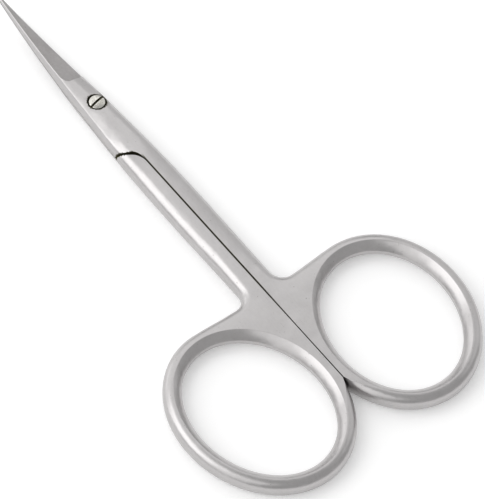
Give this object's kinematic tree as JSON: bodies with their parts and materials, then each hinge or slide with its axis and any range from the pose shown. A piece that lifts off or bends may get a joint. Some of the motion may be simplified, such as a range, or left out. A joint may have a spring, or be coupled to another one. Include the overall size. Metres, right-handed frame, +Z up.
{
  "type": "nail scissors",
  "caption": "Slim nail scissors with curved, finely pointed blades, oval finger rings and a slotted pivot screw, closed and lying flat.",
  "frame": {"origin": "middle of the closed scissors' bounding box, at the flat underside of the handles", "axes": "+Y from the finger rings to the blade tips, +Z up through the thickness, +X to the side of the top half's finger ring"},
  "size_m": [0.049, 0.0922, 0.0034],
  "materials": {
    "satin_steel": "satin",
    "polished_steel": "polished"
  },
  "bodies": {
    "lower_half": {"bottom_half": "satin_steel", "pivot_screw": "polished_steel"},
    "upper_half": {"top_half": "satin_steel"}
  },
  "joints": [
    {"name": "pivot", "type": "hinge", "parent": "lower_half", "child": "upper_half", "pos_m": [0.00045, 0.0225, 0.0016], "axis": [0, 0, 1], "range_deg": [0, 80]}
  ]
}
